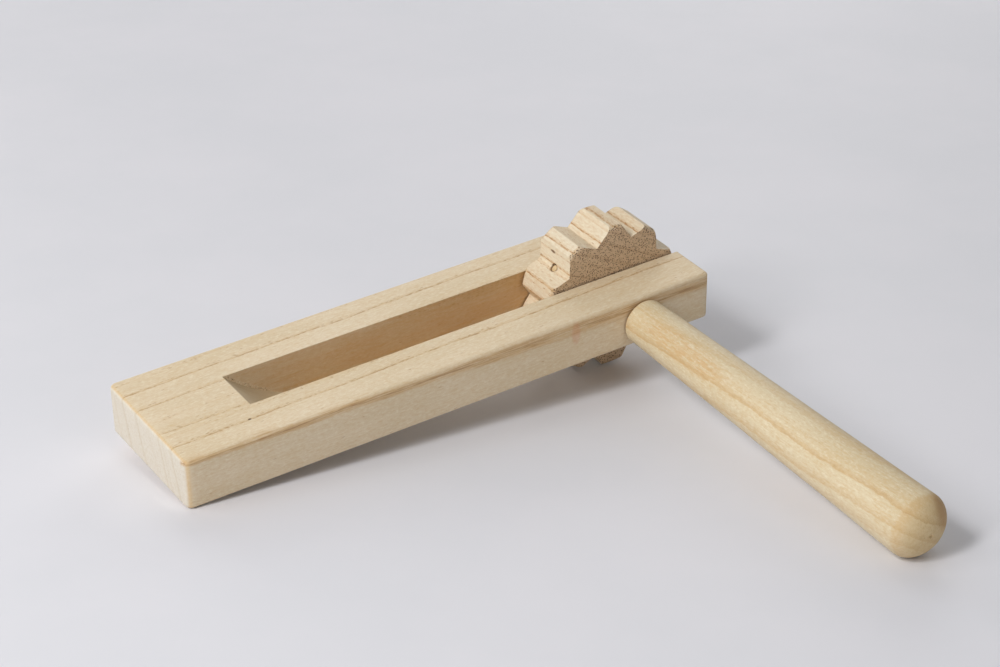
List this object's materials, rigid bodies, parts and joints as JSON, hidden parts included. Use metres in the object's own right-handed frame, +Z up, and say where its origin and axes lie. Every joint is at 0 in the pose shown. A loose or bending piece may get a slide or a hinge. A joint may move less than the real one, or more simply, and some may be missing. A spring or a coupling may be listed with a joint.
{
  "type": "ratchet rattle",
  "caption": "Wooden ratchet rattle: a slotted block swings round a turned grip, and a thin tongue clicks over the teeth of the cog wheel on the axle.",
  "frame": {"origin": "middle of the resting rattle's outline seen from above, on the table it lies on", "axes": "+Z up from the table; the block's length lies near +X, closed end at low X, its slot walls parallel to X; the grip points near -Y and drops to the table"},
  "size_m": [0.2006, 0.1996, 0.0568],
  "materials": {
    "block_wood": "bare sanded",
    "wheel_wood": "bare sanded",
    "handle_wood": "bare sanded",
    "pin_wood": "bare",
    "tongue_wood": "bare"
  },
  "bodies": {
    "frame": {"block": "block_wood"},
    "rotor": {"wheel": "wheel_wood", "handle": "handle_wood", "wheel_pin": "pin_wood"},
    "tongue": {"tongue": "tongue_wood"}
  },
  "joints": [
    {"name": "wheel_spin", "type": "hinge", "parent": "frame", "child": "rotor", "pos_m": [0.07207, 0.07082, 0.02842], "axis": [0, -0.9943, -0.107], "continuous": true},
    {"name": "tongue_flex", "type": "hinge", "parent": "frame", "child": "tongue", "pos_m": [-0.08464, 0.07345, 0.00394], "axis": [0, 0.9943, 0.107], "range_deg": [0, 2], "stiffness_Nm_per_rad": 2, "springref_deg": -2.01}
  ]
}
